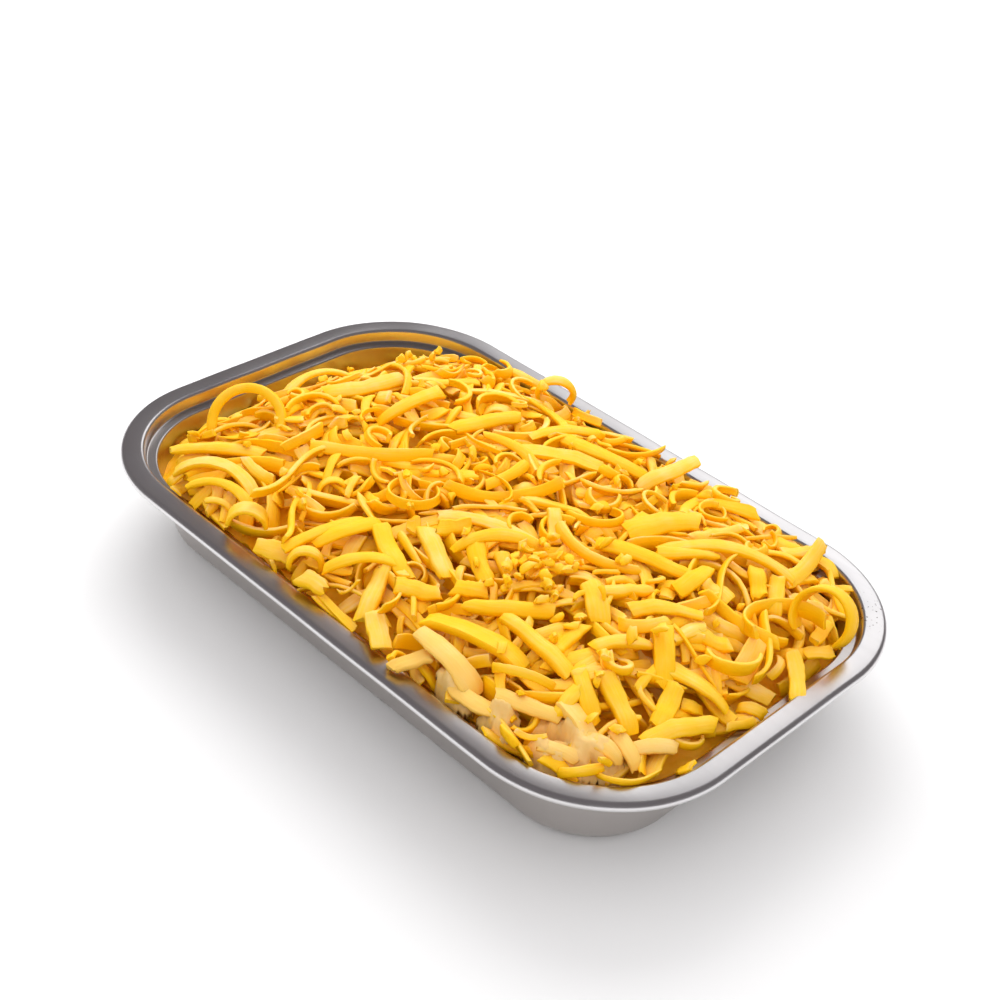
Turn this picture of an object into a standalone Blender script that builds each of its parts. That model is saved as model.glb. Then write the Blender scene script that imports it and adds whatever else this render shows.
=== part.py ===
"""Foil tray meal: a shallow foil tray with a creamy filling under a heap of grated cheese.

The tray's long side runs along X, its short side along Y, and its flat base rests on Z = 0.
"""

import math
import random

import bmesh
import bpy
import numpy as np
from mathutils import Matrix, Vector
from mathutils.bvhtree import BVHTree

MM = 0.001
GAP = 0.3 * MM

# Tray, a rounded rectangle seen from above
TRAY_LENGTH = 200 * MM
TRAY_WIDTH = 127.4 * MM
TRAY_HEIGHT = 28 * MM
CORNER_RADIUS = 38 * MM
FOIL = 0.6 * MM
BASE_RADIUS = 6 * MM
WALL_DRAFT = math.radians(13)

# Rim, measured in from the outer edge and down from the top
BEAD_RADIUS = 1.35 * MM
FLANGE_WIDTH = 5.3 * MM
RIM_BEND = 1.1 * MM
RIM_LEAN = 0.2 * MM
LEDGE_DROP = 3.7 * MM
LEDGE_WIDTH = 2.0 * MM
LEDGE_BEND = 0.6 * MM
BEND_STEPS = 3
BEAD_STEPS = 6
TRAY_CORNER_STEPS = 8
LEAST_RADIUS_SHARE = 1 / 3  # of the half width, for the innermost outlines
SHARP_ANGLE = math.radians(40)

# Filling, with a swell where it shows at the near corner
FILLING_DEPTH = 16 * MM
FILLING_SWELL = 5 * MM
SWELL_X = 60 * MM
SWELL_Y = -44 * MM
SWELL_REACH = 20 * MM
FILLING_BUMP = 0.5 * MM

# Food outlines: faces round a corner, along a short side and along a long side, and the rings inwards
FOOD_STEPS = (4, 3, 7)
RING_COUNT = 7
RING_CROWDING = 1.2  # above 1, rings lie closer together near the edge
MIDDLE_HALF_WIDTH = 8 * MM

# Cheese heap: the surface that its shreds reach, and the bare core below them
HEAP_CREST = 36 * MM
HEAP_SIDE = 28.5 * MM
HEAP_END_DROP = 8 * MM
HEAP_DOME = 42 * MM
END_RUN = 28 * MM
FAR_DROP = 6 * MM
FAR_DROP_X = -80 * MM
FAR_DROP_Y = 40 * MM
FAR_DROP_REACH = 26 * MM
CORE_COVER = 2.6 * MM
CORE_LEAST = 1.4 * MM
CORE_CLEARANCE = 0.8 * MM
CORE_LUMP = 0.9 * MM
LUMP_LENGTH = 17 * MM
CORNER_CUT = 4 * MM
CUT_REACH = 20 * MM

# Shreds, each range as shortest and longest
SHRED_SEED = 11
RIBBON_COUNT = 150
RIBBON_LENGTH = (18 * MM, 34 * MM)
RIBBON_WIDTH = (4.8 * MM, 6.8 * MM)
STICK_COUNT = 50
HIGHEST_PILE = 7 * MM
STICK_LENGTH = (10 * MM, 24 * MM)
STICK_WIDTH = (2.4 * MM, 4.0 * MM)
SHRED_THICKNESS = (1.4 * MM, 1.9 * MM)
SHRED_CURLS = (15, 30, 60, -40, 100)  # degrees from end to end
CURL_VARIATION = (0.6, 1.3)
MOST_BEND = 50  # degrees in a strip's own plane
MOST_TWIST = 40
PITCH_SPREAD = 8
ROLL_SPREAD = 14
END_TAPER = 0.8
RIBBON_STEPS = 6
STICK_STEPS = 4
LOOP_STEPS = 14
LOOP_CURL = 180  # degrees, above which a strip counts as a loop
SHRED_SINK = 0.5 * MM
LANDING_TRIES = 24
LANDING_SPREAD = 7 * MM
PILE_WEIGHT = 1.5
GROUND_CELL = 1 * MM
TOUCH_POINTS = (24, 4)  # along and across a strip, to find where it touches
COVER_POINTS = (40, 7)  # along and across a strip, to raise the ground
END_MARGIN = 3 * FLANGE_WIDTH
SIDE_MARGIN = 2.6 * FLANGE_WIDTH
EVEN_STEP_X = 0.7548777
EVEN_STEP_Y = 0.5698403

# Shreds laid one by one: centre x and y, heading, length, width, thickness, pitch and curl,
# in millimetres and degrees
PLACED_SHREDS = {
    "left_end_loop": (-72, -23, 41, 32, 4.6, 1.6, 0, 230),
    "right_end_loop": (80, 33, 80, 34, 5.0, 1.6, 0, 240),
    "left_band_low": (-54, -46, 12, 27, 4.5, 1.5, -8, 30),
    "left_band_high": (-60, -39, 29, 27, 4.5, 1.5, -8, 40),
    "wide_flat_strip": (60, 0, 48, 16, 7.0, 1.6, 8, 20),
    "long_right_arc": (59, 26, 38, 34, 4.5, 1.5, 4, 60),
    "middle_arc": (11, -10, 11, 31, 4.5, 1.5, 0, 30),
    "middle_hollow": (18, -14, 46, 28, 4.5, 1.5, 0, -30),
    "grooved_stick": (21, -26, -30, 15, 5.2, 2.8, 8, 0),
    "rolled_strip": (10, -47, -68, 15, 6.0, 2.4, 10, 0),
    "long_flat_strip": (38, -41, 23, 27, 7.2, 1.8, 5, 15),
    "flat_strip": (39, -31, 53, 25, 6.4, 1.8, 0, 20),
    "cross_strip_left": (59, -42, 22, 20, 6.2, 1.7, 0, -25),
    "pale_strip": (40, -50.5, 5, 20, 8.0, 1.8, 12, 60),
    "pale_stub": (31, -55, 61, 10, 6.0, 2.0, 0, 20),
    "cross_strip_right": (63.5, -34, -73, 21, 6.0, 1.7, 5, 20),
    "front_strip_left": (69, -32, -35, 20, 5.2, 2.4, 18, 15),
    "front_strip_right": (71, -27.5, -31, 23, 6.0, 2.6, 18, 15),
    "upright_strip": (70.5, -12.5, -27, 18, 6.4, 1.8, 18, 40),
    "near_rim_stub": (93.5, 7, -51, 14, 4.4, 1.6, 8, 20),
    "far_edge_strip_left": (16, 50, 30, 20, 6.0, 1.6, 0, 10),
    "far_edge_strip_middle": (27, 46, 82, 24, 5.0, 1.6, 4, 20),
    "far_edge_strip_right": (52, 50, 5, 14, 6.0, 1.6, 0, 10),
    "far_rim_loop": (-25.5, 51.5, 41, 25, 3.6, 1.8, 0, 260),
    "far_end_strip": (-73, 10, 12, 24, 5.0, 1.5, 0, 40),
    "far_end_arch": (-78, 28, 110, 22, 5.0, 1.5, 0, 70),
    "far_end_cross": (-80, -8, 82, 24, 5.0, 1.6, 0, 30),
    "far_ribbon": (-56.5, 6, 73, 24, 5.4, 1.6, 0, 35),
    "far_arch": (-38, 9, 88, 28, 5.2, 1.5, 0, 115),
    "near_corner_strip": (85, -22, 72, 20, 5.4, 1.7, 0, 20),
    "near_corner_cross": (79, -26, 112, 14, 6.0, 1.8, -10, 20),
    "near_corner_low": (74, -38, 52, 18, 5.2, 1.7, 0, 25),
}

# Materials: colour, roughness and metallic value
FOIL_LOOK = ((0.78, 0.78, 0.80, 1.0), 0.3, 1.0)
FILLING_LOOK = ((0.86, 0.72, 0.46, 1.0), 0.4, 0.0)
CHEESE_LOOK = ((0.98, 0.62, 0.08, 1.0), 0.45, 0.0)


def clear_scene():
    for thing in list(bpy.data.objects):
        bpy.data.objects.remove(thing, do_unlink=True)


def make_material(name, colour, roughness, metallic):
    material = bpy.data.materials.new(name)
    material.use_nodes = True
    shader = material.node_tree.nodes["Principled BSDF"]
    shader.inputs["Base Color"].default_value = colour
    shader.inputs["Roughness"].default_value = roughness
    shader.inputs["Metallic"].default_value = metallic
    return material


def add_object(name, bm, material):
    """Turn a bmesh into an object, shaded smooth with its sharp edges kept."""
    bmesh.ops.recalc_face_normals(bm, faces=bm.faces)
    mesh = bpy.data.meshes.new(name)
    bm.to_mesh(mesh)
    bm.free()
    mesh.materials.append(material)
    mesh.shade_smooth()
    mesh.set_sharp_from_angle(angle=SHARP_ANGLE)
    thing = bpy.data.objects.new(name, mesh)
    bpy.context.scene.collection.objects.link(thing)
    return thing


def smooth_step(low, high, value):
    share = np.clip((value - low) / (high - low), 0.0, 1.0)
    return share * share * (3.0 - 2.0 * share)


def outline(inset, corner_steps, short_steps, long_steps):
    """Anticlockwise points of the rounded rectangle `inset` inside the tray's outer edge."""
    half_x = TRAY_LENGTH / 2 - inset
    half_y = TRAY_WIDTH / 2 - inset
    radius = max(CORNER_RADIUS - inset, half_y * LEAST_RADIUS_SHARE)
    corners = []
    for sign_x, sign_y, start in ((1, -1, -90), (1, 1, 0), (-1, 1, 90), (-1, -1, 180)):
        centre = Vector((sign_x * (half_x - radius), sign_y * (half_y - radius)))
        corner = []
        for step in range(corner_steps + 1):
            angle = math.radians(start + 90 * step / corner_steps)
            corner.append(centre + radius * Vector((math.cos(angle), math.sin(angle))))
        corners.append(corner)
    points = []
    for index, corner in enumerate(corners):
        points += corner
        next_start = corners[(index + 1) % 4][0]
        run_steps = (short_steps, long_steps)[index % 2]
        for step in range(1, run_steps):
            points.append(corner[-1].lerp(next_start, step / run_steps))
    return points


def inset_at(x, y):
    """Distance inside the tray's outer edge, negative outside it."""
    past_x = np.abs(x) - (TRAY_LENGTH / 2 - CORNER_RADIUS)
    past_y = np.abs(y) - (TRAY_WIDTH / 2 - CORNER_RADIUS)
    outside = np.hypot(np.maximum(past_x, 0), np.maximum(past_y, 0))
    return CORNER_RADIUS - outside - np.minimum(np.maximum(past_x, past_y), 0)


def arc(centre, radius, start, end, steps):
    """Section points (inset, height) of an arc; 0 degrees points inward and 90 degrees up."""
    points = []
    for step in range(steps + 1):
        angle = math.radians(start + (end - start) * step / steps)
        points.append((centre[0] + radius * math.cos(angle), centre[1] + radius * math.sin(angle)))
    return points


def upper_section():
    """The foil's upper surface, as (inset, height) from the edge of the floor to the flange."""
    ledge_height = TRAY_HEIGHT - LEDGE_DROP
    rim_wall_foot = FLANGE_WIDTH + RIM_BEND + RIM_LEAN
    ledge_start = rim_wall_foot + LEDGE_BEND
    ledge_end = ledge_start + LEDGE_WIDTH
    wall_top = (ledge_end + LEDGE_BEND, ledge_height - LEDGE_BEND)
    bend_height = FOIL + BASE_RADIUS
    wall_at_bend = wall_top[0] + (wall_top[1] - bend_height) * math.tan(WALL_DRAFT)
    bend_centre = (wall_at_bend + BASE_RADIUS / math.cos(WALL_DRAFT), bend_height)
    section = arc(bend_centre, BASE_RADIUS, 270, 180 + math.degrees(WALL_DRAFT), BEND_STEPS)
    section.append(wall_top)
    section.append((ledge_end, ledge_height))
    section.append((ledge_start, ledge_height))
    section.append((rim_wall_foot, ledge_height + LEDGE_BEND))
    section += arc((FLANGE_WIDTH, TRAY_HEIGHT - RIM_BEND), RIM_BEND, 10, 90, BEND_STEPS)
    return section


def shift_section(section, distance):
    """The section moved `distance` to its under side, or to its upper side if negative."""
    shifted = []
    for index, (inset, height) in enumerate(section):
        before = Vector(section[max(index - 1, 0)])
        after = Vector(section[min(index + 1, len(section) - 1)])
        run = (after - before).normalized()
        shifted.append((inset - distance * run.y, height + distance * run.x))
    return shifted


def add_ring(bm, points, heights):
    return [bm.verts.new((point[0], point[1], height)) for point, height in zip(points, heights)]


def join_rings(bm, rings):
    """Faces between neighbouring rings, and one over the first ring and one over the last."""
    for ring, next_ring in zip(rings, rings[1:]):
        for index in range(len(ring)):
            after = (index + 1) % len(ring)
            bm.faces.new((ring[index], next_ring[index], next_ring[after], ring[after]))
    bm.faces.new(rings[0])
    bm.faces.new(rings[-1][::-1])


def build_tray(material):
    upper = upper_section()
    under = shift_section(upper, FOIL)
    under[0] = (upper[0][0], 0.0)
    under[-1] = (upper[-1][0], TRAY_HEIGHT - FOIL)
    bead = arc((BEAD_RADIUS, TRAY_HEIGHT - BEAD_RADIUS), BEAD_RADIUS, 90, 360, BEAD_STEPS)
    bead.append((2 * BEAD_RADIUS, TRAY_HEIGHT - FOIL))
    bm = bmesh.new()
    rings = []
    for inset, height in upper + bead + under[::-1]:
        points = outline(inset, TRAY_CORNER_STEPS, 1, 1)
        rings.append(add_ring(bm, points, [height] * len(points)))
    join_rings(bm, rings)
    return add_object("tray", bm, material)


def lump(x, y):
    """Uneven waves between -1 and 1."""
    first = np.sin(2 * math.pi * (x + 0.4 * y) / LUMP_LENGTH)
    second = np.sin(2 * math.pi * (0.3 * x - y) / (LUMP_LENGTH * 1.3) + 1.0)
    return first * second


def filling_top(x, y):
    distance = np.hypot(x - SWELL_X, y - SWELL_Y)
    swell = FILLING_SWELL * np.exp(-((distance / SWELL_REACH) ** 2))
    return FILLING_DEPTH + swell + FILLING_BUMP * (1 + lump(x, y)) / 2


def heap_surface(x, y):
    """Height that the shreds reach: a dome that drops towards both ends and most at the far corner."""
    inside = np.clip((inset_at(x, y) - 2 * FLANGE_WIDTH) / HEAP_DOME, 0.0, 1.0)
    dome = 1 - (1 - inside) ** 2
    end_start = TRAY_LENGTH / 2 - 2 * FLANGE_WIDTH - END_RUN
    end = smooth_step(end_start, end_start + END_RUN, np.abs(x))
    from_corner = np.hypot(x - FAR_DROP_X, y - FAR_DROP_Y)
    corner_drop = FAR_DROP * np.exp(-((from_corner / FAR_DROP_REACH) ** 2))
    return HEAP_SIDE + (HEAP_CREST - HEAP_SIDE) * dome - HEAP_END_DROP * end - corner_drop


def core_top(x, y):
    bare = heap_surface(x, y) - CORE_COVER + CORE_LUMP * lump(x, y)
    return np.maximum(bare, filling_top(x, y) + CORE_LEAST)


def food_rings(edge_inset):
    """Nested outlines from the food's edge to a narrow strip along its middle."""
    middle_inset = TRAY_WIDTH / 2 - MIDDLE_HALF_WIDTH
    rings = []
    for step in range(RING_COUNT):
        share = (step / (RING_COUNT - 1)) ** RING_CROWDING
        rings.append(outline(edge_inset + (middle_inset - edge_inset) * share, *FOOD_STEPS))
    return rings


def food_edge():
    """Inset of the tray's wall at the filling's depth, with the gap to it."""
    wall_top = upper_section()[BEND_STEPS + 1]
    return wall_top[0] + (wall_top[1] - FILLING_DEPTH) * math.tan(WALL_DRAFT) + GAP


def build_filling(material):
    bend = shift_section(upper_section()[:BEND_STEPS + 1], -GAP)
    bm = bmesh.new()
    rings = []
    for inset, height in bend:
        points = outline(inset, *FOOD_STEPS)
        rings.append(add_ring(bm, points, [height] * len(points)))
    for points in food_rings(food_edge()):
        rings.append(add_ring(bm, points, [filling_top(point.x, point.y) for point in points]))
    join_rings(bm, rings)
    return add_object("creamy_filling", bm, material)


def pull_from_corner(point):
    """Move a point of the heap's plan in, away from the near corner where the filling shows."""
    distance = math.hypot(point.x - SWELL_X, point.y + TRAY_WIDTH / 2 - 3 * FLANGE_WIDTH)
    return Vector((point.x, point.y + CORNER_CUT * math.exp(-((distance / CUT_REACH) ** 2))))


def build_core(material):
    bm = bmesh.new()
    plans = []
    for points in food_rings(food_edge()):
        plans.append([pull_from_corner(point) for point in points])
    rings = []
    for points in plans[::-1]:
        heights = [filling_top(point.x, point.y) + CORE_CLEARANCE for point in points]
        rings.append(add_ring(bm, points, heights))
    for points in plans:
        rings.append(add_ring(bm, points, [core_top(point.x, point.y) for point in points]))
    join_rings(bm, rings)
    return add_object("cheese_heap", bm, material)


def strip_sections(length, width, thickness, curl, bend, twist, steps):
    """Corner points of a strip's sections, its middle section flat on the origin.

    A positive curl bows it into an arch, bend curves it in its own plane.
    """
    turn = Matrix.Rotation(curl / steps, 3, "Y")
    turn = turn @ Matrix.Rotation(bend / steps, 3, "Z")
    turn = turn @ Matrix.Rotation(twist / steps, 3, "X")
    frame = Matrix.Identity(3)
    place = Vector((0, 0, 0))
    frames = [frame]
    places = [place]
    for _ in range(steps):
        place = place + frame.col[0] * (length / steps / 2)
        frame = frame @ turn
        place = place + frame.col[0] * (length / steps / 2)
        frames.append(frame)
        places.append(place)
    middle = frames[steps // 2].inverted()
    middle_place = places[steps // 2]
    sections = []
    for index in range(steps + 1):
        share = END_TAPER if index in (0, steps) else 1.0
        frame = middle @ frames[index]
        place = middle @ (places[index] - middle_place)
        half_width = frame.col[1] * (width * share / 2)
        half_thickness = frame.col[2] * (thickness * share / 2)
        sections.append([
            place - half_width - half_thickness,
            place + half_width - half_thickness,
            place + half_width + half_thickness,
            place - half_width + half_thickness,
        ])
    return np.array([[tuple(corner) for corner in section] for section in sections])


def turn_sections(sections, heading, pitch, roll):
    turn = Matrix.Rotation(heading, 3, "Z") @ Matrix.Rotation(pitch, 3, "Y") @ Matrix.Rotation(roll, 3, "X")
    return sections @ np.array(turn).T


class Ground:
    """Heights over the tray that the shreds come down on."""

    def __init__(self, tray, filling, core):
        self.start = Vector((-TRAY_LENGTH / 2, -TRAY_WIDTH / 2))
        self.columns = int(TRAY_LENGTH / GROUND_CELL) + 1
        self.rows = int(TRAY_WIDTH / GROUND_CELL) + 1
        self.heights = np.zeros((self.columns, self.rows))
        graph = bpy.context.evaluated_depsgraph_get()
        clear = GAP + SHRED_SINK
        for thing, lift in ((tray, clear), (filling, clear), (core, 0.0)):
            tree = BVHTree.FromObject(thing, graph)
            self.cover(tree, lift)

    def cover(self, tree, lift):
        top = 2 * TRAY_HEIGHT
        for column in range(self.columns):
            for row in range(self.rows):
                x = self.start.x + column * GROUND_CELL
                y = self.start.y + row * GROUND_CELL
                hit = tree.ray_cast(Vector((x, y, top)), Vector((0, 0, -1)))[0]
                if hit is not None:
                    self.heights[column, row] = max(self.heights[column, row], hit.z + lift)

    def cells(self, points):
        column = np.clip((points[..., 0] - self.start.x) / GROUND_CELL, 0, self.columns - 1.001)
        row = np.clip((points[..., 1] - self.start.y) / GROUND_CELL, 0, self.rows - 1.001)
        return column.astype(int), row.astype(int)

    def below(self, points):
        """The highest ground in the cell around each point."""
        column, row = self.cells(points)
        highest = self.heights[column, row]
        for next_column, next_row in ((1, 0), (0, 1), (1, 1)):
            highest = np.maximum(highest, self.heights[column + next_column, row + next_row])
        return highest

    def raise_to(self, points):
        column, row = self.cells(points)
        np.maximum.at(self.heights, (column, row), points[..., 2])


def fill_between(sections, along, across):
    """Points spread over a strip, between its sections and from side to side."""
    steps = np.linspace(0, len(sections) - 1, along)
    first = np.minimum(steps.astype(int), len(sections) - 2)
    share = (steps - first)[:, None, None]
    between = sections[first] * (1 - share) + sections[first + 1] * share
    layers = []
    for side in np.linspace(0, 1, across):
        layers.append(between[:, 0] * (1 - side) + between[:, 1] * side)
        layers.append(between[:, 3] * (1 - side) + between[:, 2] * side)
    return np.array(layers)


def land(sections, ground):
    """Drop a strip until it touches; return it, how badly it lies and how high it piles up.

    A strip lies badly where it spans open air or stands above the heap's surface.
    """
    points = fill_between(sections, *TOUCH_POINTS)
    floor = ground.below(points)
    points[..., 2] += (floor - points[..., 2]).max() - SHRED_SINK
    landed = sections.copy()
    landed[..., 2] += points[0, 0, 2] - sections[0, 0, 2]
    open_air = (points[..., 2] - floor).mean()
    pile = np.maximum(points[..., 2] - heap_surface(points[..., 0], points[..., 1]), 0)
    return landed, open_air + PILE_WEIGHT * pile.mean(), pile.max()


def stays_inside(sections, least_inset):
    corners = sections.reshape(-1, 3)
    return inset_at(corners[:, 0], corners[:, 1]).min() > least_inset


def shred_mesh(name, sections):
    bm = bmesh.new()
    rings = [[bm.verts.new(corner) for corner in section] for section in sections]
    for ring, next_ring in zip(rings, rings[1:]):
        for index in range(4):
            after = (index + 1) % 4
            bm.faces.new((ring[index], next_ring[index], next_ring[after], ring[after]))
    bm.faces.new(rings[0])
    bm.faces.new(rings[-1][::-1])
    bmesh.ops.recalc_face_normals(bm, faces=bm.faces)
    mesh = bpy.data.meshes.new(name)
    bm.to_mesh(mesh)
    bm.free()
    return bpy.data.objects.new(name, mesh)


def scatter_shreds(count, lengths, widths, steps, ground, draw):
    """Drop strips evenly over the heap, each at the flattest of several places near its own."""
    reach_x = TRAY_LENGTH / 2 - END_MARGIN
    reach_y = TRAY_WIDTH / 2 - SIDE_MARGIN
    shreds = []
    for index in range(count):
        centre_x = reach_x * (2 * (index * EVEN_STEP_X % 1) - 1)
        centre_y = reach_y * (2 * (index * EVEN_STEP_Y % 1) - 1)
        curl = math.radians(draw.choice(SHRED_CURLS) * draw.uniform(*CURL_VARIATION))
        bend = math.radians(draw.uniform(-MOST_BEND, MOST_BEND))
        twist = math.radians(draw.uniform(-MOST_TWIST, MOST_TWIST))
        length = draw.uniform(*lengths)
        width = draw.uniform(*widths)
        sections = strip_sections(length, width, draw.uniform(*SHRED_THICKNESS), curl, bend, twist, steps)
        best = None
        for _ in range(LANDING_TRIES):
            pitch = math.radians(draw.gauss(0, PITCH_SPREAD))
            roll = math.radians(draw.gauss(0, ROLL_SPREAD))
            turned = turn_sections(sections, draw.uniform(0, math.tau), pitch, roll)
            turned[..., 0] += centre_x + draw.gauss(0, LANDING_SPREAD)
            turned[..., 1] += centre_y + draw.gauss(0, LANDING_SPREAD)
            landed, badness, pile = land(turned, ground)
            fits = stays_inside(landed, FLANGE_WIDTH) and pile < HIGHEST_PILE
            if fits and (best is None or badness < best[1]):
                best = (landed, badness)
        if best is not None:
            ground.raise_to(fill_between(best[0], *COVER_POINTS))
            shreds.append(best[0])
    return shreds


def place_shreds(ground):
    shreds = []
    for x, y, heading, length, width, thickness, pitch, curl in PLACED_SHREDS.values():
        steps = LOOP_STEPS if curl > LOOP_CURL else RIBBON_STEPS
        sections = strip_sections(length * MM, width * MM, thickness * MM, math.radians(curl), 0, 0, steps)
        turned = turn_sections(sections, math.radians(heading), math.radians(pitch), 0)
        turned[..., 0] += x * MM
        turned[..., 1] += y * MM
        landed = land(turned, ground)[0]
        ground.raise_to(fill_between(landed, *COVER_POINTS))
        shreds.append(landed)
    return shreds


def fuse_shreds(heap, shreds):
    """Join the shreds to the core in one union, and keep the one closed outer surface."""
    group = bpy.data.collections.new("shreds")
    bpy.context.scene.collection.children.link(group)
    for index, sections in enumerate(shreds):
        group.objects.link(shred_mesh(f"shred_{index}", sections))
    union = heap.modifiers.new("union", "BOOLEAN")
    union.operation = "UNION"
    union.operand_type = "COLLECTION"
    union.collection = group
    union.solver = "MANIFOLD"
    graph = bpy.context.evaluated_depsgraph_get()
    fused = bpy.data.meshes.new_from_object(heap.evaluated_get(graph))
    heap.modifiers.clear()
    heap.data = fused
    for thing in list(group.objects):
        bpy.data.objects.remove(thing, do_unlink=True)
    bpy.data.collections.remove(group)


def keep_largest_body(heap):
    """Drop loose scraps and fill sealed hollows, which are the smaller closed surfaces."""
    bm = bmesh.new()
    bm.from_mesh(heap.data)
    bmesh.ops.triangulate(bm, faces=bm.faces)
    bodies = []
    unseen = set(bm.faces)
    while unseen:
        body = [unseen.pop()]
        for face in body:
            for edge in (edge for edge in face.edges if len(edge.link_faces) == 2):
                for neighbour in edge.link_faces:
                    if neighbour in unseen:
                        unseen.remove(neighbour)
                        body.append(neighbour)
        bodies.append(body)
    bodies.sort(key=len)
    scraps = [face for body in bodies[:-1] for face in body]
    bmesh.ops.delete(bm, geom=scraps, context="FACES")
    bm.to_mesh(heap.data)
    bm.free()


def main():
    clear_scene()
    foil = make_material("foil", *FOIL_LOOK)
    cream = make_material("cream", *FILLING_LOOK)
    cheese = make_material("cheese", *CHEESE_LOOK)
    tray = build_tray(foil)
    filling = build_filling(cream)
    heap = build_core(cheese)
    ground = Ground(tray, filling, heap)
    draw = random.Random(SHRED_SEED)
    shreds = place_shreds(ground)
    shreds += scatter_shreds(RIBBON_COUNT, RIBBON_LENGTH, RIBBON_WIDTH, RIBBON_STEPS, ground, draw)
    shreds += scatter_shreds(STICK_COUNT, STICK_LENGTH, STICK_WIDTH, STICK_STEPS, ground, draw)
    fuse_shreds(heap, shreds)
    keep_largest_body(heap)


main()
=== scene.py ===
import math
import random

import bmesh
import bpy
import numpy as np
from mathutils import Matrix, Vector


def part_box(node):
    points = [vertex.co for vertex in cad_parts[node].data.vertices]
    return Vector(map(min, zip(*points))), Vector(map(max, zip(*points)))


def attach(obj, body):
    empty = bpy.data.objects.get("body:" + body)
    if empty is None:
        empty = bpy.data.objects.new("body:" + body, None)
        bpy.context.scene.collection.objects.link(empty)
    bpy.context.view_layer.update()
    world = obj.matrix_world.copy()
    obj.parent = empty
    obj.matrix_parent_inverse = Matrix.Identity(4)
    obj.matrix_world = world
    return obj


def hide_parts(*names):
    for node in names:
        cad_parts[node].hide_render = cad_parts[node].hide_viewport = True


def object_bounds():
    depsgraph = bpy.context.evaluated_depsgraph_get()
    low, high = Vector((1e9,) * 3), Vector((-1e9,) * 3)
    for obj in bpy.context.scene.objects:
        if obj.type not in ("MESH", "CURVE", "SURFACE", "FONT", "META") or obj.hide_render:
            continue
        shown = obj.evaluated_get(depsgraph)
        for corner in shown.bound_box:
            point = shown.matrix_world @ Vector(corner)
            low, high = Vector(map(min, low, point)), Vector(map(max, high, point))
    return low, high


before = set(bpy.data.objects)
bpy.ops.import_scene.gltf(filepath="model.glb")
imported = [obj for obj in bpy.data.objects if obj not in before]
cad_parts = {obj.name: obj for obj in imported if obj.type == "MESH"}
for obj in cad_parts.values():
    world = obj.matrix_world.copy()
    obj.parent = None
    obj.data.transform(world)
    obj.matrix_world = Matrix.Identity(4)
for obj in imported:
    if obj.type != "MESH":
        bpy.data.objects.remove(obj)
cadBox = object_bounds()
mm = 0.001
print("frame loaded:", sorted(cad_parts))


# Shader maths: a Wire is one output socket, and a Paint is a material that nodes are added to

class Wire:
    def __init__(self, paint, socket):
        self.paint = paint
        self.socket = socket

    def maths(self, operation, first, second):
        return self.paint.node("ShaderNodeMath", {"operation": operation}, {0: first, 1: second})

    def __add__(self, other):
        return self.maths("ADD", self, other)

    def __radd__(self, other):
        return self.maths("ADD", other, self)

    def __sub__(self, other):
        return self.maths("SUBTRACT", self, other)

    def __rsub__(self, other):
        return self.maths("SUBTRACT", other, self)

    def __mul__(self, other):
        return self.maths("MULTIPLY", self, other)

    def __rmul__(self, other):
        return self.maths("MULTIPLY", other, self)

    def __pow__(self, other):
        return self.maths("POWER", self, other)


class Paint:
    def __init__(self, name, fixed):
        self.material = bpy.data.materials.new(name)
        self.material.use_nodes = True
        self.tree = self.material.node_tree
        self.shader = self.tree.nodes["Principled BSDF"]
        for socketName, value in fixed.items():
            self.shader.inputs[socketName].default_value = value

    def node(self, kind, settings=None, sockets=None, output=0):
        made = self.tree.nodes.new(kind)
        for name, value in (settings or {}).items():
            setattr(made, name, value)
        for name, value in (sockets or {}).items():
            self.join(value, made.inputs[name])
        return Wire(self, made.outputs[output])

    def join(self, value, target):
        if isinstance(value, Wire):
            self.tree.links.new(value.socket, target)
        else:
            target.default_value = value

    def feed(self, **wires):
        sockets = {"colour": "Base Color", "roughness": "Roughness", "normal": "Normal"}
        for name, wire in wires.items():
            self.join(wire, self.shader.inputs[sockets[name]])

    def place(self, stretch=(1, 1, 1), turn=(0, 0, 0)):
        coordinates = self.node("ShaderNodeTexCoord", output="Object")
        return self.node(
            "ShaderNodeMapping", {}, {"Vector": coordinates, "Scale": stretch, "Rotation": turn})

    def uvPlace(self, stretch=(1, 1, 1)):
        coordinates = self.node("ShaderNodeUVMap", {"uv_map": "run"})
        return self.node("ShaderNodeMapping", {}, {"Vector": coordinates, "Scale": stretch})

    def attribute(self, name):
        return self.node("ShaderNodeAttribute", {"attribute_name": name}, output="Fac")

    def noise(self, place, scale, detail=2.0, rough=0.5):
        return self.node(
            "ShaderNodeTexNoise", {}, {"Vector": place, "Scale": scale, "Detail": detail, "Roughness": rough})

    def spread(self, value, low, high):
        return self.node(
            "ShaderNodeMapRange", {"clamp": True}, {"Value": value, "From Min": low, "From Max": high})

    def blend(self, share, first, second):
        return self.node("ShaderNodeMix", {"data_type": "RGBA"}, {0: share, 6: first, 7: second}, output=2)

    def bump(self, height, strength, distance):
        return self.node(
            "ShaderNodeBump", {}, {"Height": height, "Strength": strength, "Distance": distance})


def meshFrom(bm, name, sharp=None):
    mesh = bpy.data.meshes.new(name)
    bm.to_mesh(mesh)
    bm.free()
    mesh.shade_smooth()
    if sharp:
        mesh.set_sharp_from_angle(angle=math.radians(sharp))
    return mesh


def addPiece(name, mesh, paint, node):
    piece = bpy.data.objects.new(name, mesh)
    bpy.context.scene.collection.objects.link(piece)
    mesh.materials.clear()
    mesh.materials.append(paint.material)
    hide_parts(node)
    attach(piece, "root")
    print("made", name, "with", len(mesh.polygons), "faces")
    return piece


# Tray: a foil section swept round a rounded rectangle

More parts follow.
